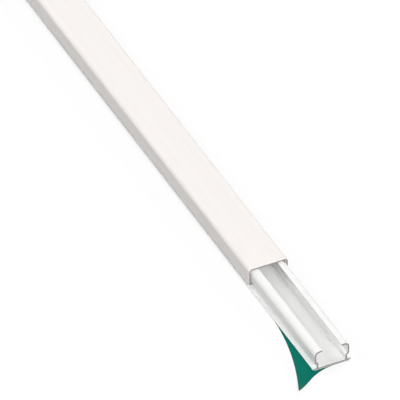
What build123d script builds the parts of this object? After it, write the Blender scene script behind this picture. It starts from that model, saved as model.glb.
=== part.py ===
from build123d import *

import os
from math import acos, atan2, degrees

# Self-adhesive mini trunking: a plastic raceway that hides cords along a wall.
# Lengths are in millimetres. X runs along the stock, with the open near end at +X.
# Y runs across it and Z is up, away from the surface that the raceway is stuck to.
# The origin is in the middle of the release liner's underside.

# Stock as it is sold
stock_length = 1000.0
cover_setback = 65.0

# Closed section
trunking_width = 20.0
trunking_height = 11.4

# Base channel, whose plate is a little narrower than the cover
plate_inset = 0.3
plate_thickness = 0.8
plate_edge_radius = 0.3
base_wall = 1.0
base_corner_radius = 2.6
lip_gap = 9.6
lip_tip_radius = 0.4
wall_root_radius = 0.4

# Step of the base wall, which makes the groove that the cover snaps into
groove_height = 2.3
groove_depth = 1.1
step_rise = 0.8
step_radius = 0.4

# Snap cover
cover_wall = 0.9
cover_corner_radius = 2.0
hook_lead = 0.4
hook_radius = 0.25
foot_radius = 0.3

# Clearances between the cover and the base
side_clearance = 0.2
top_clearance = 0.1
foot_clearance = 1.4
hook_clearance = 0.3

# Adhesive tape, a little narrower than the plate, and its release liner
tape_inset = 0.7
tape_thickness = 0.4
liner_thickness = 0.1

# Peeled corner of the liner, measured from the near left corner of the closed section
tab_forward = 12.2
tab_sideways = 13.0
tab_root_back = 50.0
tab_root_across = 12.0
tab_bend_radius = 26.0
tab_tip_radius = 0.3
curl_radius = 60.0
curl_start = 1.0

# Levels and half widths that follow from these
near_end = stock_length / 2
half_width = trunking_width / 2
plate_edge = half_width - plate_inset
tape_edge = plate_edge - tape_inset
plate_bottom = liner_thickness + tape_thickness
plate_top = plate_bottom + plate_thickness
cover_top = plate_bottom + trunking_height
lip_top = cover_top - cover_wall - top_clearance
step_bottom = plate_top + groove_height
step_top = step_bottom + step_rise
cover_inside = half_width - cover_wall
wall_outside = cover_inside - side_clearance
groove_outside = wall_outside - groove_depth
hook_tip = groove_outside + hook_clearance
cover_foot = plate_top + foot_clearance


def corners_at(sketch, points, within=0.01):
    """The corners of a section that lie at the given points and at their mirror images."""
    targets = [Vector(side * y, z) for y, z in points for side in (1, -1)]
    return [v for v in sketch.vertices() if min((Vector(v) - t).length for t in targets) < within]


def extruded(section, start_x):
    """A length of stock with this section, its far end at start_x."""
    return Pos(start_x, 0, 0) * extrude(section, stock_length, dir=(1, 0, 0))


def base_channel():
    """Plate, stepped walls and lips. Each wall is one line of even thickness, from plate to lip."""
    lip_tip = lip_gap / 2
    groove_inside = groove_outside - base_wall
    with BuildSketch(Plane.YZ) as section:
        with Locations((0, plate_bottom + plate_thickness / 2)):
            Rectangle(2 * plate_edge, plate_thickness)
        with BuildLine():
            FilletPolyline(
                (groove_outside, plate_bottom + plate_thickness / 2),
                (groove_outside, step_bottom),
                (wall_outside, step_top),
                (wall_outside, lip_top),
                (lip_tip, lip_top),
                radius=[step_radius, step_radius + base_wall, base_corner_radius],
            )
            offset(amount=base_wall, side=Side.LEFT)
        make_face()
        mirror(about=Plane.YZ)
        roots = [(groove_outside, plate_top), (groove_inside, plate_top)]
        fillet(corners_at(section, roots), wall_root_radius)
        tips = [(lip_tip, lip_top), (lip_tip, lip_top - base_wall)]
        fillet(corners_at(section, tips), min(lip_tip_radius, 0.45 * base_wall))
        edges = [(plate_edge, plate_top), (plate_edge, plate_bottom)]
        fillet(corners_at(section, edges), min(plate_edge_radius, 0.45 * plate_thickness))
    return extruded(section.sketch, near_end - stock_length)


def snap_cover():
    """Inverted U whose feet hook into the base's grooves, set back from the base's near end."""
    step_slope = step_rise / groove_depth
    hook_top = step_bottom + hook_clearance * (step_slope - 1)
    hook_shoulder = hook_top + (cover_inside - hook_tip) * step_slope
    hook_nose = cover_foot + hook_lead
    wall_middle = half_width - cover_wall / 2
    with BuildSketch(Plane.YZ) as section:
        with BuildLine():
            FilletPolyline(
                (half_width, cover_foot),
                (half_width, cover_top),
                (-half_width, cover_top),
                (-half_width, cover_foot),
                radius=cover_corner_radius,
            )
            offset(amount=cover_wall, side=Side.LEFT)
        make_face()
        with BuildLine():
            Polyline(
                (wall_middle, cover_foot),
                (cover_inside, cover_foot),
                (hook_tip, hook_nose),
                (hook_tip, hook_top),
                (cover_inside, hook_shoulder),
                (wall_middle, hook_shoulder),
                close=True,
            )
        make_face()
        mirror(about=Plane.YZ)
        fillet(corners_at(section, [(hook_tip, hook_nose), (hook_tip, hook_top)]), hook_radius)
        fillet(corners_at(section, [(half_width, cover_foot)]), min(foot_radius, 0.45 * cover_wall))
    return extruded(section.sketch, near_end - cover_setback - stock_length)


def adhesive_tape():
    """Double-sided foam tape under the whole length of the plate."""
    place = Pos(0, 0, liner_thickness)
    upwards = (Align.CENTER, Align.CENTER, Align.MIN)
    return place * Box(stock_length, 2 * tape_edge, tape_thickness, align=upwards)


def release_liner():
    """Film under the tape. Its near left corner runs out into a pointed tab that curls off the floor.

    The outline is drawn in plan: the tab's long edge is one arc, and its front edge bends out of the near
    end and runs straight to the tip. The film is a sheet that is flat under the base and bends up round a
    cylinder past its corner, and the liner is the piece of that sheet inside the outline. Its solid is
    parted along the tape's left edge, so that the strip and the peeled corner are two simple shapes.
    """
    corner = Vector(near_end, -half_width)
    tip = corner + Vector(tab_forward, -tab_sideways)
    side_root = Vector(near_end - tab_root_back, -tape_edge)
    end_root = Vector(near_end, -half_width + tab_root_across)
    to_tip = tip - end_root - Vector(tab_bend_radius, 0)
    bend = 180 + degrees(atan2(to_tip.Y, to_tip.X) - acos(tab_bend_radius / to_tip.length))
    with BuildSketch() as outline:
        with BuildLine():
            TangentArc(side_root, tip, tangent=(1, 0))
            bent = JernArc(end_root, tangent=(0, -1), radius=tab_bend_radius, arc_size=bend)
            Line(bent @ 1, tip)
            Polyline(
                end_root,
                (near_end, tape_edge),
                (near_end - stock_length, tape_edge),
                (near_end - stock_length, -tape_edge),
                side_root,
            )
        make_face()
        fillet(outline.vertices().sort_by_distance(tip)[0], tab_tip_radius)
    pointing = (tip - corner).normalized()
    across = Vector(0, 0, 1).cross(pointing)
    bend_line = corner + pointing * curl_start
    reach = 2 * stock_length
    with BuildSketch(Plane(bend_line, x_dir=pointing, z_dir=-across)) as film:
        with BuildLine():
            Line((-reach, 0), (0, 0))
            CenterArc((0, curl_radius), curl_radius, -90, 90)
            offset(amount=liner_thickness, side=Side.LEFT)
        make_face()
    sheet = extrude(film.sketch, reach, both=True)
    liner = sheet & extrude(outline.sketch, curl_radius)
    return split(liner, bisect_by=Plane.XZ.offset(tape_edge), keep=Keep.BOTH)


os.makedirs("parts", exist_ok=True)
for make_piece in (base_channel, snap_cover, adhesive_tape, release_liner):
    export_step(make_piece(), f"parts/{make_piece.__name__}.step")
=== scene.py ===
"""Looks of a self-adhesive cord raceway: base channel, snap cover, foam tape and peeled film.

The file is laid out as an add-on and is run as a script. Lengths are in metres, in the solids' own frame:
X runs along the stock with the open near end at +X, Y runs across it and Z is up, away from the wall.
"""

import math
from types import SimpleNamespace

import bmesh
import bpy
import numpy as np
from bpy.props import FloatProperty, FloatVectorProperty, IntProperty, PointerProperty
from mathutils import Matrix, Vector
from mathutils.geometry import delaunay_2d_cdt


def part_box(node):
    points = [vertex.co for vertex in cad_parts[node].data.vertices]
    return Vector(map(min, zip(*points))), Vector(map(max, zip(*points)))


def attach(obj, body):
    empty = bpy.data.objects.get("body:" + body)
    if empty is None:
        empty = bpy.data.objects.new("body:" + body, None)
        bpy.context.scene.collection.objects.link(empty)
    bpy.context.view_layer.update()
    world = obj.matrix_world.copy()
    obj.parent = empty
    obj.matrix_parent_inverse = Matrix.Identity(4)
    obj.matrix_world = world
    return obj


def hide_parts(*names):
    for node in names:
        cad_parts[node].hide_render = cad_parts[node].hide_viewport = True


bl_info = {
    "name": "Cord raceway",
    "version": (1, 0, 0),
    "blender": (4, 5, 0),
    "location": "3D View > Sidebar > Raceway",
    "description": "Builds a plastic cord raceway with its cover, tape, film and a plain studio",
    "category": "Object",
}

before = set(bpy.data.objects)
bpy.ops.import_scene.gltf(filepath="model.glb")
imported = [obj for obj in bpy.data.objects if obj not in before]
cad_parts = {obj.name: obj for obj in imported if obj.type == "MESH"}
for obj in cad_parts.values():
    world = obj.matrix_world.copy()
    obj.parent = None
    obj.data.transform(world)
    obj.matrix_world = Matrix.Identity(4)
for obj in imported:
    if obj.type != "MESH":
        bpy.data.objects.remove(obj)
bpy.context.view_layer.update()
BASE_LOW, BASE_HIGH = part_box("base_channel")
COVER_LOW, COVER_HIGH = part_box("snap_cover")
TAPE_LOW, TAPE_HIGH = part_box("adhesive_tape")
LINER_LOW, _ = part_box("release_liner")
WHITE = (1.0, 1.0, 1.0, 1.0)


def length(name, description, default):
    """A length in metres that the sidebar shows with its unit."""
    return FloatProperty(name=name, description=description, default=default, unit="LENGTH", precision=5)


def share(name, description, default):
    """A number from 0 to 1."""
    return FloatProperty(
        name=name, description=description, default=default, min=0.0, max=1.0, subtype="FACTOR"
    )


def count(name, description, default):
    """A whole number of steps."""
    return IntProperty(name=name, description=description, default=default, min=3)


def colour(name, description, default):
    """A scene-linear colour."""
    return FloatVectorProperty(
        name=name, description=description, default=default, size=3, min=0.0, max=1.0, subtype="COLOR"
    )


def angle(name, description, degrees):
    """An angle, given here in degrees."""
    turn = math.radians(degrees)
    return FloatProperty(name=name, description=description, default=turn, subtype="ANGLE")


class RacewaySizes(bpy.types.PropertyGroup):
    """Sizes of the four pieces."""

    stock_length: length("Stock length", "Length of base and cover", BASE_HIGH.x - BASE_LOW.x)
    cover_setback: length("Cover setback", "Bare length at the near end", BASE_HIGH.x - COVER_HIGH.x)
    trunking_width: length("Width", "Width of the closed section", COVER_HIGH.y - COVER_LOW.y)
    trunking_height: length("Height", "Height of the closed section", COVER_HIGH.z - BASE_LOW.z)
    plate_width: length("Plate width", "Width of the base's plate", BASE_HIGH.y - BASE_LOW.y)
    plate_thickness: length("Plate", "Thickness of the base's plate", 0.0008)
    plate_edge_radius: length("Plate edge radius", "Rounding of the plate's long edges", 0.0003)
    base_wall: length("Base wall", "Thickness of the base's walls and lips", 0.0010)
    base_corner_radius: length("Base corner radius", "Outer radius between wall and lip", 0.0026)
    lip_gap: length("Lip gap", "Width of the slot between the lips", 0.0096)
    lip_tip_radius: length("Lip tip radius", "Rounding of the lips' free edges", 0.0004)
    wall_root_radius: length("Wall root radius", "Fillet between plate and wall", 0.0004)
    groove_height: length("Groove height", "Height of the groove over the plate", 0.0023)
    groove_depth: length("Groove depth", "How far the wall steps in over the plate", 0.0011)
    step_rise: length("Step rise", "Height over which the wall steps out again", 0.0008)
    step_radius: length("Step radius", "Smaller radius of the wall's step", 0.0004)
    cover_wall: length("Cover wall", "Thickness of the cover", 0.0009)
    cover_corner_radius: length("Cover corner radius", "Outer radius of the cover's long edges", 0.0020)
    hook_lead: length("Hook lead", "Height of the sloped face under the hook", 0.0004)
    hook_radius: length("Hook radius", "Rounding of the hook", 0.00025)
    foot_radius: length("Foot radius", "Rounding of the cover's outer foot edge", 0.0003)
    side_clearance: length("Side clearance", "Gap between the cover's and the base's walls", 0.0002)
    top_clearance: length("Top clearance", "Gap between the cover and the lips", 0.0001)
    foot_clearance: length("Foot clearance", "Gap between the cover's foot and the plate", 0.0014)
    hook_clearance: length("Hook clearance", "Gap between the hook and the bottom of the groove", 0.0003)
    tape_width: length("Tape width", "Width of the foam tape and of its film", TAPE_HIGH.y - TAPE_LOW.y)
    tape_thickness: length("Tape thickness", "Thickness of the foam tape", TAPE_HIGH.z - TAPE_LOW.z)
    liner_thickness: length("Film thickness", "Thickness of the release film", TAPE_LOW.z - LINER_LOW.z)
    tab_forward: length("Tab forward", "Reach of the peeled corner past the near end", 0.0122)
    tab_sideways: length("Tab sideways", "Reach of the peeled corner past the closed section", 0.0130)
    tab_root_back: length("Tab root back", "Where the tab leaves the long edge", 0.050)
    tab_root_across: length("Tab root across", "Where the tab leaves the near end", 0.012)
    tab_bend_radius: length("Tab bend radius", "Bend of the tab's front edge out of the near end", 0.026)
    tab_tip_radius: length("Tab tip radius", "Rounding of the tab's tip", 0.0003)
    curl_radius: length("Curl radius", "Radius of the tab's curl off the floor", 0.060)
    curl_start: length("Curl start", "Where the curl starts, past the base's corner", 0.001)
    tape_unevenness: length("Tape unevenness", "How far the tape's slit sides wander", 0.00012)
    edge_break: length("Edge break", "Chamfer that deburring leaves on a sawn end", 0.00006)
    fine_radius: length("Fine radius", "Rounding of edges that the drawing leaves sharp", 0.0001)
    arc_steps: count("Arc steps", "Steps in each rounded corner of the base and the cover", 14)
    runs: count("Runs", "Steps along the base and the cover", 56)
    tape_arc_steps: count("Tape arc steps", "Steps in each rounded corner of the tape", 5)
    tape_runs: count("Tape runs", "Steps along the tape", 420)


class RacewayFinishes(bpy.types.PropertyGroup):
    """Colours and gloss of the four pieces."""

    base_colour: colour("Base colour", "White of the base", (0.92, 0.92, 0.91))
    cover_colour: colour("Cover colour", "Warm white of the cover", (0.93, 0.885, 0.86))
    # Sawn faces are painted darker: a little for their duller sawn surface, and most of it painted shade of
    # ends that face away from the lamps.
    sawn_dullness_and_painted_shade: share("Cut shade", "How much darker sawn faces are", 0.62)
    pvc_roughness: share("PVC roughness", "Roughness between the die lines", 0.34)
    foam_colour: colour("Foam colour", "Colour of the foam tape", (0.60, 0.60, 0.58))
    film_colour: colour("Film colour", "Green of the release film", (0.0, 0.175, 0.126))
    film_roughness: share("Film roughness", "Roughness of the release film", 0.45)


class RacewayStudio(bpy.types.PropertyGroup):
    """Camera and light."""

    azimuth: angle("Azimuth", "Turn of the camera round the object", 63.70)
    elevation: angle("Elevation", "Height of the camera over the horizon", 39.48)
    lens: FloatProperty(name="Lens", description="Focal length", default=1600.0, unit="CAMERA")
    frame_width: length("Frame width", "Width of what the camera takes in", 0.1825)
    target: FloatVectorProperty(
        name="Target",
        description="Point in the middle of the picture",
        default=(0.4302, -0.0326, 0.0582),
        size=3,
        unit="LENGTH",
        subtype="TRANSLATION",
    )
    ambient: share("Ambient", "Level of the even light all round", 0.30)
    floor_bounce: share("Floor bounce", "How much light the floor throws back at the object", 0.25)
    floor_white: share("Floor white", "How much of the floor's white the camera sees without shadow", 0.7)
    key_level: share("Key level", "Light of the near end's lamp on a face turned to it", 0.85)
    key_azimuth: angle("Key azimuth", "Turn of the near end's lamp round the object", 80.0)
    key_elevation: angle("Key elevation", "Height of the near end's lamp over the horizon", 35.0)
    key_spread: angle("Key spread", "Angle that the near end's lamp fills", 30.0)
    left_level: share("Left level", "Light of the left lamp on a face turned to it", 0.26)
    left_azimuth: angle("Left azimuth", "Turn of the left lamp round the object", -30.0)
    left_elevation: angle("Left elevation", "Height of the left lamp over the horizon", 30.0)
    left_spread: angle("Left spread", "Angle that the left lamp fills", 40.0)
    right_level: share("Right level", "Light of the right lamp on a face turned to it", 0.33)
    right_azimuth: angle("Right azimuth", "Turn of the right lamp round the object", 210.0)
    right_elevation: angle("Right elevation", "Height of the right lamp over the horizon", 25.0)
    right_spread: angle("Right spread", "Angle that the right lamp fills", 40.0)


def both_sides(corners):
    """The corners of the +Y half of an outline, followed by their mirror images in reverse order."""
    corners = np.asarray(corners, float)
    mirrored = corners[::-1] * np.array([-1.0, 1.0, 1.0])
    return np.vstack([corners, mirrored])


def rounded_outline(corners, steps, support):
    """Closed outline (y, z) in which each corner (y, z, radius) is an arc.

    With a and b the unit directions from the corner to its neighbours, 2h the angle between them and m
    their bisector, the arc's centre is the corner plus m times radius / sin h. Its points are the centre
    plus radius times (-m cos t + p sin t), where p is the unit vector from a to b and t runs evenly from
    -(90 deg - h) to 90 deg - h. One more point stands on each side, to keep the flats flat when shaded.
    """
    point = corners[:, :2]
    radius = corners[:, 2][:, None]
    a = np.roll(point, 1, axis=0) - point
    b = np.roll(point, -1, axis=0) - point
    a = a / np.linalg.norm(a, axis=1, keepdims=True)
    b = b / np.linalg.norm(b, axis=1, keepdims=True)
    m = (a + b) / np.linalg.norm(a + b, axis=1, keepdims=True)
    p = (b - a) / np.linalg.norm(b - a, axis=1, keepdims=True)
    h = np.arccos(np.clip((a * m).sum(axis=1, keepdims=True), -1.0, 1.0))
    centre = point + m * radius / np.sin(h)
    t = np.linspace(-1.0, 1.0, steps)[None, :] * (math.pi / 2 - h)
    arc = -m[:, None, :] * np.cos(t)[:, :, None] + p[:, None, :] * np.sin(t)[:, :, None]
    arc = centre[:, None, :] + radius[:, None, :] * arc
    before = arc[:, :1] + support * a[:, None, :]
    after = arc[:, -1:] + support * b[:, None, :]
    return np.concatenate([before, arc, after], axis=1).reshape(-1, 2)


def outward(outline):
    """Unit normals of an anticlockwise outline: the chord between a point's neighbours, turned right."""
    chord = np.roll(outline, -1, axis=0) - np.roll(outline, 1, axis=0)
    normal = np.stack([chord[:, 1], -chord[:, 0]], axis=1)
    return normal / np.linalg.norm(normal, axis=1, keepdims=True)


def stations(near, far, edge_break, runs):
    """Places along X, even but for a chamfer at both ends, and how far the outline is drawn in there."""
    clear_of_end = 3 * edge_break
    middle = np.linspace(far + clear_of_end, near - clear_of_end, runs)
    place = np.concatenate([[far, far + edge_break], middle, [near - edge_break, near]])
    drawn_in = np.zeros(len(place))
    drawn_in[[0, -1]] = edge_break
    return place, drawn_in


def swept(outline, place, drawn_in):
    """Vertices of an outline carried along X, moved in along its normals by drawn_in at each place."""
    flat = outline[None, :, :] - drawn_in[:, None, None] * outward(outline)[None, :, :]
    along = np.broadcast_to(place[:, None, None], flat.shape[:2] + (1,))
    return np.concatenate([along, flat], axis=2)


def slit_unevenly(vertices, depth):
    """The vertices of a swept strip, with sides that run a little unevenly, as a knife slits soft foam.

    Each point moves towards the middle by depth times w, where w is 1/2 plus a sixth of the sum of three
    sines along X. Their lengths differ, and so do their phases on the two sides.
    """
    short, medium, long = 0.0037, 0.0091, 0.0240
    medium_phase = 2.3
    x, y, z = np.moveaxis(vertices, -1, 0)
    side = np.sign(y)
    sines = np.sin(x / short + side) + np.sin(x / medium + medium_phase * side) + np.sin(x / long - side)
    return np.stack([x, y - side * depth * (0.5 + sines / 6), z], axis=-1)


def tube_faces(rings, points):
    """Quads of a tube of rings with so many points each, wound so that they face outwards."""
    ring, point = np.meshgrid(np.arange(rings - 1), np.arange(points), indexing="ij")
    here = ring * points + point
    beside = ring * points + (point + 1) % points
    return np.stack([here, beside, beside + points, here + points], axis=-1).reshape(-1, 4)


def section_faces(outline):
    """Triangles that fill an anticlockwise outline, found in millimetres to keep its fine steps apart."""
    millimetres, inside_only, merged_within = 1000.0, 1, 1e-7
    ring = list(range(len(outline)))
    points, _, triangles, sources, _, _ = delaunay_2d_cdt(
        (outline * millimetres).tolist(), [], [ring], inside_only, merged_within
    )
    if len(points) != len(outline):
        raise RuntimeError("the section's outline crosses itself")
    order = np.array([source[0] for source in sources])
    return order[np.array(triangles)]


def new_piece(name, vertices, faces, material, body, node):
    """An object at the origin with these vertices, riding on its body in place of its solid."""
    mesh = bpy.data.meshes.new(name)
    mesh.from_pydata(vertices.reshape(-1, 3).tolist(), [], faces)
    mesh.materials.append(material)
    piece = bpy.data.objects.new(name, mesh)
    bpy.context.scene.collection.objects.link(piece)
    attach(piece, body)
    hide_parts(node)
    return piece


def shade_sawn(piece, sawn_faces):
    """Smooth long faces, and flat ends, which come last, with a face attribute that is 1 on these."""
    mesh = piece.data
    sawn = np.zeros(len(mesh.polygons), np.float32)
    sawn[-sawn_faces:] = 1.0
    mesh.polygons.foreach_set("use_smooth", sawn < 0.5)
    mesh.attributes.new("sawn", "FLOAT", "FACE").data.foreach_set("value", sawn)
    mesh.update()


def extrusion(name, corners, near, steps, runs, material, body, node, unevenness=0.0):
    """A length of stock: the rounded outline of its section carried along X between two sawn ends."""
    sizes = bpy.context.scene.raceway_sizes
    outline = rounded_outline(corners, steps, sizes.fine_radius / 2)
    place, drawn_in = stations(near, near - sizes.stock_length, sizes.edge_break, runs)
    vertices = slit_unevenly(swept(outline, place, drawn_in), unevenness)
    end = section_faces(vertices[0, :, 1:])
    last_ring = (len(place) - 1) * len(outline)
    tube = tube_faces(len(place), len(outline))
    faces = tube.tolist() + end[:, ::-1].tolist() + (end + last_ring).tolist()
    piece = new_piece(name, vertices, faces, material, body, node)
    shade_sawn(piece, 2 * len(end))


def levels(sizes):
    """Heights and half widths that follow from the sizes, by name."""
    at = SimpleNamespace()
    at.half_width = sizes.trunking_width / 2
    at.plate_bottom = sizes.liner_thickness + sizes.tape_thickness
    at.plate_top = at.plate_bottom + sizes.plate_thickness
    at.cover_top = at.plate_bottom + sizes.trunking_height
    at.lip_top = at.cover_top - sizes.cover_wall - sizes.top_clearance
    at.step_bottom = at.plate_top + sizes.groove_height
    at.step_top = at.step_bottom + sizes.step_rise
    at.cover_inside = at.half_width - sizes.cover_wall
    at.wall_outside = at.cover_inside - sizes.side_clearance
    at.groove_outside = at.wall_outside - sizes.groove_depth
    at.hook_tip = at.groove_outside + sizes.hook_clearance
    at.cover_foot = at.plate_top + sizes.foot_clearance
    return at


def base_corners(sizes):
    """Corners (y, z, radius) of the base's section: plate, stepped walls of even thickness, lips.

    The wall's inner line is its outer line moved in by the wall, which lifts the step's two corners by
    wall * depth / (slope + rise), with slope the length of the step's sloped side.
    """
    at = levels(sizes)
    wall = sizes.base_wall
    slope = math.hypot(sizes.groove_depth, sizes.step_rise)
    lift = wall * sizes.groove_depth / (slope + sizes.step_rise)
    tip = sizes.lip_gap / 2
    small = sizes.step_radius
    return both_sides(
        [
            (sizes.plate_width / 2, at.plate_bottom, sizes.plate_edge_radius),
            (sizes.plate_width / 2, at.plate_top, sizes.plate_edge_radius),
            (at.groove_outside, at.plate_top, sizes.wall_root_radius),
            (at.groove_outside, at.step_bottom, small),
            (at.wall_outside, at.step_top, small + wall),
            (at.wall_outside, at.lip_top, sizes.base_corner_radius),
            (tip, at.lip_top, sizes.lip_tip_radius),
            (tip, at.lip_top - wall, sizes.lip_tip_radius),
            (at.wall_outside - wall, at.lip_top - wall, sizes.base_corner_radius - wall),
            (at.wall_outside - wall, at.step_top + lift, small),
            (at.groove_outside - wall, at.step_bottom + lift, small + wall),
            (at.groove_outside - wall, at.plate_top, sizes.wall_root_radius),
        ]
    )


def cover_corners(sizes):
    """Corners (y, z, radius) of the cover's section: an inverted U with a hook inside each foot."""
    at = levels(sizes)
    slope = sizes.step_rise / sizes.groove_depth
    hook_top = at.step_bottom + sizes.hook_clearance * (slope - 1)
    shoulder = hook_top + (at.cover_inside - at.hook_tip) * slope
    inner_radius = sizes.cover_corner_radius - sizes.cover_wall
    return both_sides(
        [
            (at.cover_inside, at.cover_top - sizes.cover_wall, inner_radius),
            (at.cover_inside, shoulder, sizes.fine_radius),
            (at.hook_tip, hook_top, sizes.hook_radius),
            (at.hook_tip, at.cover_foot + sizes.hook_lead, sizes.hook_radius),
            (at.cover_inside, at.cover_foot, sizes.fine_radius),
            (at.half_width, at.cover_foot, sizes.foot_radius),
            (at.half_width, at.cover_top, sizes.cover_corner_radius),
        ]
    )


def tape_corners(sizes):
    """Corners (y, z, radius) of the foam tape's section."""
    top = sizes.liner_thickness + sizes.tape_thickness
    return both_sides(
        [
            (sizes.tape_width / 2, sizes.liner_thickness, sizes.fine_radius),
            (sizes.tape_width / 2, top, sizes.fine_radius),
        ]
    )


def tangent_arc(start, tip, heading, t):
    """Points of the arc that leaves start in the direction heading and ends at tip, at shares t of it.

    With d the way from start to tip and s its part sideways of heading, the radius is d.d / (2 s).
    """
    side = np.array([-heading[1], heading[0]])
    way = tip - start
    radius = way @ way / (2 * (way @ side))
    turn = 2 * math.atan2(way @ side, way @ heading)
    ahead = radius * np.sin(turn * t)
    aside = radius * (1 - np.cos(turn * t))
    return start + ahead[:, None] * heading + aside[:, None] * side


def bent_line(start, tip, radius, t):
    """Points of an arc that leaves start towards -Y, bends to +X and runs straight into tip, at shares t.

    With d the way from the arc's centre to the tip, the arc ends at the angle of d less the angle whose
    cosine is radius / |d|. The first half of t goes round the arc and the second along the line.
    """
    centre = start + np.array([radius, 0.0])
    way = tip - centre
    end_turn = math.atan2(way[1], way[0]) - math.acos(radius / np.linalg.norm(way))
    turn = -math.pi + np.clip(2 * t, 0.0, 1.0) * (end_turn + math.pi)
    arc = centre + radius * np.stack([np.cos(turn), np.sin(turn)], axis=1)
    return arc + np.clip(2 * t - 1, 0.0, 1.0)[:, None] * (tip - arc[-1])


def rounded_tip(tip, left_back, front_back, radius, rows):
    """Both halves of a tip's round, and its reach. Its edges run back along left_back and front_back.

    The round's centre is the tip plus the edges' bisector times radius / sin h, with h half the angle
    between them, and it starts at radius / tan h from the tip.
    """
    bisector = (left_back + front_back) / np.linalg.norm(left_back + front_back)
    across = (front_back - left_back) / np.linalg.norm(front_back - left_back)
    half = math.acos(left_back @ bisector)
    centre = tip + bisector * radius / math.sin(half)
    t = np.linspace(-1.0, 0.0, rows)[:, None] * (math.pi / 2 - half)
    left = centre + radius * (across * np.sin(t) - bisector * np.cos(t))
    front = centre + radius * (-across * np.sin(t) - bisector * np.cos(t))
    return left, front, radius / math.tan(half)


def film_edges(sizes, plain_rows, tab_rows, tip_rows):
    """The film's left edge, and its right, near and front edges, as two lines that meet at the tip.

    Both follow the strip. Then the left edge is one arc, while the other goes on to the near end, across
    it and round the bend. The last points of both are the two halves of the tip's round.
    """
    # Shares of the tab's rows up to the right near corner, and up to the bend
    to_corner, to_bend = 0.42, 0.5
    near_end = sizes.stock_length / 2
    edge = sizes.tape_width / 2
    corner = np.array([near_end, -sizes.trunking_width / 2])
    tip = corner + np.array([sizes.tab_forward, -sizes.tab_sideways])
    side_root = np.array([near_end - sizes.tab_root_back, -edge])
    end_root = np.array([near_end, corner[1] + sizes.tab_root_across])
    plain = np.linspace(-near_end, side_root[0], plain_rows, endpoint=False)
    t = np.linspace(0.0, 1.0, tab_rows)
    arc = tangent_arc(side_root, tip, np.array([1.0, 0.0]), t)
    bend_share = np.clip((t - to_bend) / (1 - to_bend), 0.0, 1.0)
    bend = bent_line(end_root, tip, sizes.tab_bend_radius, bend_share)
    left_back = (arc[-2] - arc[-1]) / np.linalg.norm(arc[-2] - arc[-1])
    front_back = (bend[-2] - bend[-1]) / np.linalg.norm(bend[-2] - bend[-1])
    left_tip, front_tip, trim = rounded_tip(tip, left_back, front_back, sizes.tab_tip_radius, tip_rows)
    arc_length = np.linalg.norm(np.diff(arc, axis=0), axis=1).sum()
    arc = tangent_arc(side_root, tip, np.array([1.0, 0.0]), t * (1.0 - trim / arc_length))
    bend = bent_line(end_root, tip + trim * front_back, sizes.tab_bend_radius, bend_share)
    along = np.clip(t / to_corner, 0.0, 1.0)
    down = np.clip((t - to_corner) / (to_bend - to_corner), 0.0, 1.0)
    square_x = side_root[0] + along * sizes.tab_root_back
    square_y = edge - down * (edge - end_root[1])
    square = np.stack([square_x, square_y], axis=1)
    front = np.where((t > to_bend)[:, None], bend, square)
    left = np.vstack([np.stack([plain, np.full(plain_rows, -edge)], axis=1), arc, left_tip[1:]])
    right = np.vstack([np.stack([plain, np.full(plain_rows, edge)], axis=1), front, front_tip[1:]])
    return left, right, corner, tip


def film_surface(sizes, plain_rows=60, tab_rows=120, tip_rows=8, columns=49):
    """The film's underside and top on one grid, and how near each point is to the rim.

    A point is left + v (right - left), with v close together at both edges. Its height is that of a sheet
    that bends up round a cylinder: R - sqrt(R R - s s) for s, the way past the bend line, and 0 before it.
    Shallow waves across the tab, in proportion to that height, keep it from being a perfect roll.
    """
    wave_depth, wave_across, wave_along = 0.12, 0.0017, 0.004
    rim_width = 0.0004
    left, right, corner, tip = film_edges(sizes, plain_rows, tab_rows, tip_rows)
    v = 0.5 - 0.5 * np.cos(math.pi * np.linspace(0.0, 1.0, columns))
    plan = left[:, None, :] + v[None, :, None] * (right - left)[:, None, :]
    pointing = (tip - corner) / np.linalg.norm(tip - corner)
    aside = np.array([-pointing[1], pointing[0]])
    past = np.clip((plan - corner) @ pointing - sizes.curl_start, 0.0, None)
    across = (plan - corner) @ aside
    radius = sizes.curl_radius
    wave = 1.0 - wave_depth * (1.0 + np.sin(across / wave_across + past / wave_along))
    low = (radius - np.sqrt(radius**2 - past**2)) * wave
    width = np.linalg.norm(right - left, axis=1)[:, None]
    rim = np.exp(-np.minimum(v, 1 - v)[None, :] * width / rim_width)
    under = np.concatenate([plan, low[:, :, None]], axis=2)
    over = under + np.array([0.0, 0.0, sizes.liner_thickness])
    return under, over, rim


def grid_faces(rows, columns, start, upwards):
    """Quads of a grid whose points begin at start, turned up or down."""
    row, column = np.meshgrid(np.arange(rows - 1), np.arange(columns - 1), indexing="ij")
    here = start + row * columns + column
    quads = np.stack([here, here + columns, here + columns + 1, here + 1], axis=-1).reshape(-1, 4)
    return quads if upwards else quads[:, ::-1]


def rim_faces(rows, columns, second):
    """Quads that close the sheet between the rims of two grids, the second of which begins at second."""
    first_column = np.arange(rows) * columns
    last_column = first_column + columns - 1
    last_row = (rows - 1) * columns + np.arange(columns - 2, -1, -1)
    ring = np.concatenate([np.arange(columns), last_column[1:], last_row, first_column[-2:0:-1]])
    after = np.roll(ring, -1)
    return np.stack([ring, ring + second, after + second, after], axis=-1)


def shade_film(piece, rim):
    """Smooth film with sharp cut edges and a point attribute that is 1 at its rim.

    Both edges of the film meet in its tip, so the points that coincide there are made one.
    """
    merged_within = 1e-7
    sharp_from = math.radians(50)
    mesh = piece.data
    on_both_faces = np.tile(rim.ravel(), 2).astype(np.float32)
    mesh.attributes.new("rim", "FLOAT", "POINT").data.foreach_set("value", on_both_faces)
    mesh.polygons.foreach_set("use_smooth", np.ones(len(mesh.polygons), bool))
    welded = bmesh.new()
    welded.from_mesh(mesh)
    bmesh.ops.remove_doubles(welded, verts=welded.verts, dist=merged_within)
    welded.to_mesh(mesh)
    welded.free()
    mesh.set_sharp_from_angle(angle=sharp_from)
    mesh.update()


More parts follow.
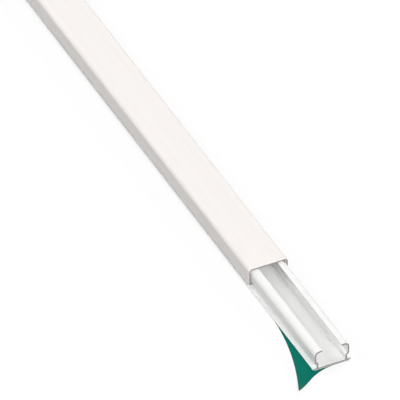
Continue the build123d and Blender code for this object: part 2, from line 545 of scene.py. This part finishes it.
def add_node(tree, kind, values=None, **settings):
    """A node of this kind. A value that is a socket is linked to its input, and any other is set on it."""
    made = tree.nodes.new(kind)
    for key, value in settings.items():
        setattr(made, key, value)
    for key, value in (values or {}).items():
        if isinstance(value, bpy.types.NodeSocket):
            tree.links.new(value, made.inputs[key])
        else:
            made.inputs[key].default_value = value
    return made


def new_tree(name):
    """A new material, its node tree, and the object's own coordinates in that tree."""
    material = bpy.data.materials.new(name)
    material.use_nodes = True
    tree = material.node_tree
    tree.nodes.clear()
    coordinates = add_node(tree, "ShaderNodeTexCoord").outputs["Object"]
    return material, tree, coordinates


def noise(tree, coordinates, scale, detail=3.0, roughness=0.55, turn=(0.0, 0.0, 0.0)):
    """Noise with its own number of features to the metre along each axis."""
    mapped = add_node(tree, "ShaderNodeMapping", {"Vector": coordinates, "Rotation": turn, "Scale": scale})
    made = add_node(
        tree,
        "ShaderNodeTexNoise",
        {"Vector": mapped.outputs["Vector"], "Scale": 1.0, "Detail": detail, "Roughness": roughness},
    )
    return made.outputs["Fac"]


def ranged(tree, value, span, onto=(0.0, 1.0)):
    """The value moved from one span (low, high) onto another, held at its ends."""
    ends = {"From Min": span[0], "From Max": span[1], "To Min": onto[0], "To Max": onto[1]}
    return add_node(tree, "ShaderNodeMapRange", {"Value": value, **ends}).outputs["Result"]


def blended(tree, factor, first, second):
    """Colour between first at 0 and second at 1. The node's colour sockets are known by their numbers."""
    factor_in, first_in, second_in, colour_out = 0, 6, 7, 2
    values = {factor_in: factor, first_in: first, second_in: second}
    return add_node(tree, "ShaderNodeMix", values, data_type="RGBA").outputs[colour_out]


def computed(tree, operation, first, second):
    """One arithmetic step on two numbers."""
    made = add_node(tree, "ShaderNodeMath", {0: first, 1: second}, operation=operation)
    return made.outputs["Value"]


def shade_of(tint, level):
    """The colour times a level, with full alpha."""
    return (tint[0] * level, tint[1] * level, tint[2] * level, 1.0)


def finish_material(tree, values):
    """Principled shader with these values, joined to the output."""
    shader = add_node(tree, "ShaderNodeBsdfPrincipled", values)
    add_node(tree, "ShaderNodeOutputMaterial", {"Surface": shader.outputs["BSDF"]})


def extruded_pvc(name, tint):
    """Satin white PVC: wide and fine die lines along it, a faint cloudiness, and saw marks on the cut ends.
    The cut ends are painted darker, a little for their duller sawn surface and mostly as painted shade.

    The wide lines are drag marks of the die, about 2 mm apart. The fine ones are its polish, five to the
    millimetre. Both colour the surface a little, and both raise it and change its gloss.
    """
    finishes = bpy.context.scene.raceway_finishes
    material, tree, coordinates = new_tree(name)
    drag_scale = (2.0, 450.0, 450.0)
    polish_scale = (9.0, 5200.0, 5200.0)
    cloud_scale = (28.0, 60.0, 60.0)
    saw_scale, saw_turn = (1.0, 260.0, 7000.0), (0.35, 0.0, 0.0)
    drag_share, polish_share = 0.7, 0.3
    relief_depth = 0.00012
    scatter_depth = 0.0006
    drag = noise(tree, coordinates, drag_scale, detail=3.0, roughness=0.6)
    polish = noise(tree, coordinates, polish_scale, detail=2.0, roughness=0.5)
    cloud = noise(tree, coordinates, cloud_scale, detail=2.0, roughness=0.5)
    saw_marks = noise(tree, coordinates, saw_scale, detail=3.0, roughness=0.6, turn=saw_turn)
    sawn = add_node(tree, "ShaderNodeAttribute", attribute_name="sawn").outputs["Fac"]
    wide = computed(tree, "MULTIPLY", drag, drag_share)
    fine = computed(tree, "MULTIPLY", polish, polish_share)
    die_lines = computed(tree, "ADD", wide, fine)
    line_share = ranged(tree, die_lines, (0.35, 0.65))
    cloud_share = ranged(tree, cloud, (0.35, 0.7), (0.0, 0.5))
    mark_share = ranged(tree, saw_marks, (0.3, 0.7))
    drawn = blended(tree, line_share, shade_of(tint, 0.95), shade_of(tint, 1.0))
    clouded = blended(tree, cloud_share, drawn, shade_of(tint, 0.97))
    # Painted shade: the sawn faces' colour is darkened a little for their dull sawn surface, and mostly as
    # shade of end faces turned away from the lamps.
    sawn_level_with_painted_shade = 1.0 - finishes.sawn_dullness_and_painted_shade
    cut = blended(tree, mark_share, shade_of(tint, sawn_level_with_painted_shade - 0.06), shade_of(tint, sawn_level_with_painted_shade))
    glossy, dull = finishes.pvc_roughness - 0.08, finishes.pvc_roughness + 0.10
    gloss = ranged(tree, die_lines, (0.3, 0.7), (glossy, dull))
    handled = ranged(tree, cloud, (0.3, 0.7), (-0.03, 0.05))
    roughened = ranged(tree, sawn, (0.0, 1.0), (0.0, 0.3))
    relief = blended(tree, sawn, die_lines, saw_marks)
    bump = add_node(tree, "ShaderNodeBump", {"Strength": 0.6, "Distance": relief_depth, "Height": relief})
    finish_material(
        tree,
        {
            "Base Color": blended(tree, sawn, clouded, cut),
            "Roughness": computed(tree, "ADD", computed(tree, "ADD", gloss, handled), roughened),
            "Normal": bump.outputs["Normal"],
            "IOR": 1.53,
            "Subsurface Weight": 1.0,
            "Subsurface Radius": (1.0, 1.0, 1.0),
            "Subsurface Scale": scatter_depth,
        },
    )
    return material


def closed_cell_foam(name, tint):
    """Pale grey foam with small closed cells that show as hollows on its cut sides, with painted shade in
    each hollow and painted light on the cell walls.
    """
    cell_scale = 3600.0
    patch_scale = (180.0, 180.0, 180.0)
    pit_depth = 0.00008
    material, tree, coordinates = new_tree(name)
    voronoi = add_node(tree, "ShaderNodeTexVoronoi", {"Vector": coordinates, "Scale": cell_scale})
    cells = voronoi.outputs["Distance"]
    patches = ranged(tree, noise(tree, coordinates, patch_scale), (0.35, 0.7), (0.0, 0.4))
    # Painted shade and light: each cell is darker towards its middle, where its hollow lies, and a touch
    # lighter on its walls.
    walls = ranged(tree, cells, (0.15, 0.6))
    pit_painted_shade = blended(tree, walls, shade_of(tint, 0.72), shade_of(tint, 1.05))
    bump = add_node(tree, "ShaderNodeBump", {"Strength": 0.6, "Distance": pit_depth, "Height": cells})
    finish_material(
        tree,
        {
            "Base Color": blended(tree, patches, pit_painted_shade, shade_of(tint, 0.9)),
            "Roughness": ranged(tree, cells, (0.0, 0.6), (0.95, 0.8)),
            "Normal": bump.outputs["Normal"],
        },
    )
    return material


def release_film(name, tint, fold_turn):
    """Green film: faint mottling, fine crinkles along the fold, and darker towards its rim."""
    finishes = bpy.context.scene.raceway_finishes
    material, tree, coordinates = new_tree(name)
    mottle_scale = (260.0, 260.0, 260.0)
    crinkle_scale, crinkle_turn = (520.0, 70.0, 70.0), (0.0, 0.0, fold_turn)
    crinkle_depth = 0.0002
    mottle = noise(tree, coordinates, mottle_scale, detail=4.0, roughness=0.6)
    crinkle = noise(tree, coordinates, crinkle_scale, detail=3.0, roughness=0.55, turn=crinkle_turn)
    rim = add_node(tree, "ShaderNodeAttribute", attribute_name="rim").outputs["Fac"]
    rim_share = ranged(tree, rim, (0.0, 1.0), (0.0, 0.6))
    mottle_share = ranged(tree, mottle, (0.3, 0.7))
    crease_share = ranged(tree, crinkle, (0.55, 0.8), (0.0, 0.25))
    body = blended(tree, mottle_share, shade_of(tint, 0.93), shade_of(tint, 1.06))
    creased = blended(tree, crease_share, body, shade_of(tint, 1.25))
    dull, glossy = finishes.film_roughness + 0.08, finishes.film_roughness - 0.06
    bump = add_node(tree, "ShaderNodeBump", {"Strength": 0.35, "Distance": crinkle_depth, "Height": crinkle})
    finish_material(
        tree,
        {
            "Base Color": blended(tree, rim_share, creased, shade_of(tint, 0.4)),
            "Roughness": ranged(tree, mottle, (0.25, 0.75), (glossy, dull)),
            "Normal": bump.outputs["Normal"],
            "Specular IOR Level": 0.08,
        },
    )
    return material


class RACEWAY_OT_base_channel(bpy.types.Operator):
    """Builds the base: plate, stepped walls and lips"""

    bl_idname = "raceway.base_channel"
    bl_label = "Base channel"

    def execute(self, context):
        sizes = context.scene.raceway_sizes
        finish = extruded_pvc("base_white_pvc", context.scene.raceway_finishes.base_colour)
        extrusion(
            "base_channel_pvc",
            base_corners(sizes),
            near=sizes.stock_length / 2,
            steps=sizes.arc_steps,
            runs=sizes.runs,
            material=finish,
            body="base",
            node="base_channel",
        )
        return {"FINISHED"}


class RACEWAY_OT_snap_cover(bpy.types.Operator):
    """Builds the cover, set back from the base's near end"""

    bl_idname = "raceway.snap_cover"
    bl_label = "Snap cover"

    def execute(self, context):
        sizes = context.scene.raceway_sizes
        finish = extruded_pvc("cover_warm_white_pvc", context.scene.raceway_finishes.cover_colour)
        extrusion(
            "snap_cover_pvc",
            cover_corners(sizes),
            near=sizes.stock_length / 2 - sizes.cover_setback,
            steps=sizes.arc_steps,
            runs=sizes.runs,
            material=finish,
            body="cover",
            node="snap_cover",
        )
        return {"FINISHED"}


class RACEWAY_OT_adhesive_tape(bpy.types.Operator):
    """Builds the foam tape under the plate"""

    bl_idname = "raceway.adhesive_tape"
    bl_label = "Adhesive tape"

    def execute(self, context):
        sizes = context.scene.raceway_sizes
        finish = closed_cell_foam("grey_foam", context.scene.raceway_finishes.foam_colour)
        extrusion(
            "adhesive_tape_foam",
            tape_corners(sizes),
            near=sizes.stock_length / 2,
            steps=sizes.tape_arc_steps,
            runs=sizes.tape_runs,
            material=finish,
            body="base",
            node="adhesive_tape",
            unevenness=sizes.tape_unevenness,
        )
        return {"FINISHED"}


class RACEWAY_OT_release_liner(bpy.types.Operator):
    """Builds the release film with its peeled corner"""

    bl_idname = "raceway.release_liner"
    bl_label = "Release film"

    def execute(self, context):
        sizes = context.scene.raceway_sizes
        fold_turn = math.atan2(sizes.tab_sideways, sizes.tab_forward)
        finish = release_film("green_film", context.scene.raceway_finishes.film_colour, fold_turn)
        under, over, rim = film_surface(sizes)
        rows, columns = rim.shape
        second = rows * columns
        faces = np.vstack(
            [
                grid_faces(rows, columns, 0, upwards=False),
                grid_faces(rows, columns, second, upwards=True),
                rim_faces(rows, columns, second),
            ]
        )
        piece = new_piece(
            "release_liner_film",
            np.stack([under, over]),
            faces.tolist(),
            material=finish,
            body="base",
            node="release_liner",
        )
        shade_film(piece, rim)
        return {"FINISHED"}


def seen_directly(tree):
    """1 for rays from the camera or sent on by gloss or a clear piece, 0 for light that spreads."""
    path = add_node(tree, "ShaderNodeLightPath").outputs
    camera_or_gloss = computed(tree, "MAXIMUM", path["Is Camera Ray"], path["Is Glossy Ray"])
    return computed(tree, "MAXIMUM", camera_or_gloss, path["Is Transmission Ray"])


class RACEWAY_OT_studio(bpy.types.Operator):
    """Builds the floor, the light and the camera"""

    bl_idname = "raceway.studio"
    bl_label = "Studio"

    def execute(self, context):
        scene = context.scene
        studio = scene.raceway_studio
        self.floor(scene, studio)
        self.light(scene, studio)
        self.camera(scene, studio)
        scene.view_settings.view_transform = "Standard"
        return {"FINISHED"}

    def floor(self, scene, studio):
        """A wide white floor just under the film, which throws little light back at the object."""
        reach, level = 40.0, -0.00004
        mesh = bpy.data.meshes.new("studio_floor")
        corners = np.array([[-1.0, -1.0], [1.0, -1.0], [1.0, 1.0], [-1.0, 1.0]]) * reach
        mesh.from_pydata([(x, y, level) for x, y in corners], [], [[0, 1, 2, 3]])
        floor = bpy.data.objects.new("studio_floor", mesh)
        scene.collection.objects.link(floor)
        material = bpy.data.materials.new("pale_floor")
        material.use_nodes = True
        tree = material.node_tree
        tree.nodes.clear()
        bounce = shade_of(WHITE, studio.floor_bounce)
        seen = seen_directly(tree)
        pale = blended(tree, seen, bounce, WHITE)
        lit = add_node(tree, "ShaderNodeBsdfDiffuse", {"Color": pale}).outputs["BSDF"]
        white = add_node(tree, "ShaderNodeEmission", {"Color": WHITE}).outputs["Emission"]
        share_white = computed(tree, "MULTIPLY", seen, studio.floor_white)
        surface = add_node(tree, "ShaderNodeMixShader", {0: share_white, 1: lit, 2: white})
        add_node(tree, "ShaderNodeOutputMaterial", {"Surface": surface.outputs["Shader"]})
        mesh.materials.append(material)

    def light(self, scene, studio):
        """Even light all round, a strong soft lamp off the near end and a weaker one on each side."""
        world = bpy.data.worlds.new("studio_light")
        world.use_nodes = True
        tree = world.node_tree
        tree.nodes.clear()
        even = shade_of(WHITE, studio.ambient)
        sky = blended(tree, seen_directly(tree), even, WHITE)
        background = add_node(tree, "ShaderNodeBackground", {"Color": sky, "Strength": 1.0})
        add_node(tree, "ShaderNodeOutputWorld", {"Surface": background.outputs["Background"]})
        scene.world = world
        near_end = towards(studio.key_azimuth, studio.key_elevation)
        self.lamp(scene, "near_lamp", studio.key_level, studio.key_spread, near_end)
        left = towards(studio.left_azimuth, studio.left_elevation)
        self.lamp(scene, "left_lamp", studio.left_level, studio.left_spread, left)
        right = towards(studio.right_azimuth, studio.right_elevation)
        self.lamp(scene, "right_lamp", studio.right_level, studio.right_spread, right)

    def lamp(self, scene, name, level, spread, source):
        """A soft lamp that lights a face turned to it at this level.

        Gloss already mirrors the white surroundings, so the lamp adds no mirror image that would clip.
        """
        data = bpy.data.lights.new(name, "SUN")
        data.energy = level * math.pi
        data.angle = spread
        lamp = bpy.data.objects.new(name, data)
        scene.collection.objects.link(lamp)
        lamp.visible_glossy = False
        lamp.rotation_mode = "QUATERNION"
        lamp.rotation_quaternion = source.to_track_quat("Z", "Y")

    def camera(self, scene, studio):
        """A long lens at the photograph's angle, so far away that parallel edges stay parallel."""
        data = bpy.data.cameras.new("studio_camera")
        data.lens = studio.lens
        data.sensor_width = 36.0
        data.clip_end = 100.0
        back = towards(studio.azimuth, studio.elevation)
        camera = bpy.data.objects.new("studio_camera", data)
        scene.collection.objects.link(camera)
        distance = studio.frame_width * studio.lens / data.sensor_width
        camera.location = Vector(studio.target) + back * distance
        camera.rotation_mode = "QUATERNION"
        camera.rotation_quaternion = (-back).to_track_quat("-Z", "Y")
        scene.camera = camera


def towards(azimuth, elevation):
    """Unit vector from the object to a place round it: azimuth 0 is at -Y and 90 degrees at +X."""
    return Vector(
        (
            math.sin(azimuth) * math.cos(elevation),
            -math.cos(azimuth) * math.cos(elevation),
            math.sin(elevation),
        )
    )


class RACEWAY_PT_panel(bpy.types.Panel):
    """Lists the sizes, the finishes and the steps"""

    bl_idname = "RACEWAY_PT_panel"
    bl_label = "Cord raceway"
    bl_space_type = "VIEW_3D"
    bl_region_type = "UI"
    bl_category = "Raceway"

    def draw(self, context):
        layout = self.layout
        for operator in OPERATORS:
            layout.operator(operator.bl_idname)
        for group in (
            context.scene.raceway_sizes,
            context.scene.raceway_finishes,
            context.scene.raceway_studio,
        ):
            box = layout.box()
            for name in group.__annotations__:
                box.prop(group, name)


OPERATORS = (
    RACEWAY_OT_base_channel,
    RACEWAY_OT_snap_cover,
    RACEWAY_OT_adhesive_tape,
    RACEWAY_OT_release_liner,
    RACEWAY_OT_studio,
)
CLASSES = (RacewaySizes, RacewayFinishes, RacewayStudio) + OPERATORS + (RACEWAY_PT_panel,)


def register():
    """Registers the classes and hangs the three groups of properties on the scene."""
    for cls in CLASSES:
        bpy.utils.register_class(cls)
    bpy.types.Scene.raceway_sizes = PointerProperty(type=RacewaySizes)
    bpy.types.Scene.raceway_finishes = PointerProperty(type=RacewayFinishes)
    bpy.types.Scene.raceway_studio = PointerProperty(type=RacewayStudio)


def unregister():
    """Takes the properties and the classes away again."""
    del bpy.types.Scene.raceway_studio
    del bpy.types.Scene.raceway_finishes
    del bpy.types.Scene.raceway_sizes
    for cls in reversed(CLASSES):
        bpy.utils.unregister_class(cls)


def main():
    """Builds the pieces and the studio."""
    register()
    bpy.ops.raceway.base_channel()
    bpy.ops.raceway.snap_cover()
    bpy.ops.raceway.adhesive_tape()
    bpy.ops.raceway.release_liner()
    bpy.ops.raceway.studio()
    bpy.context.view_layer.update()


if __name__ == "__main__":
    main()
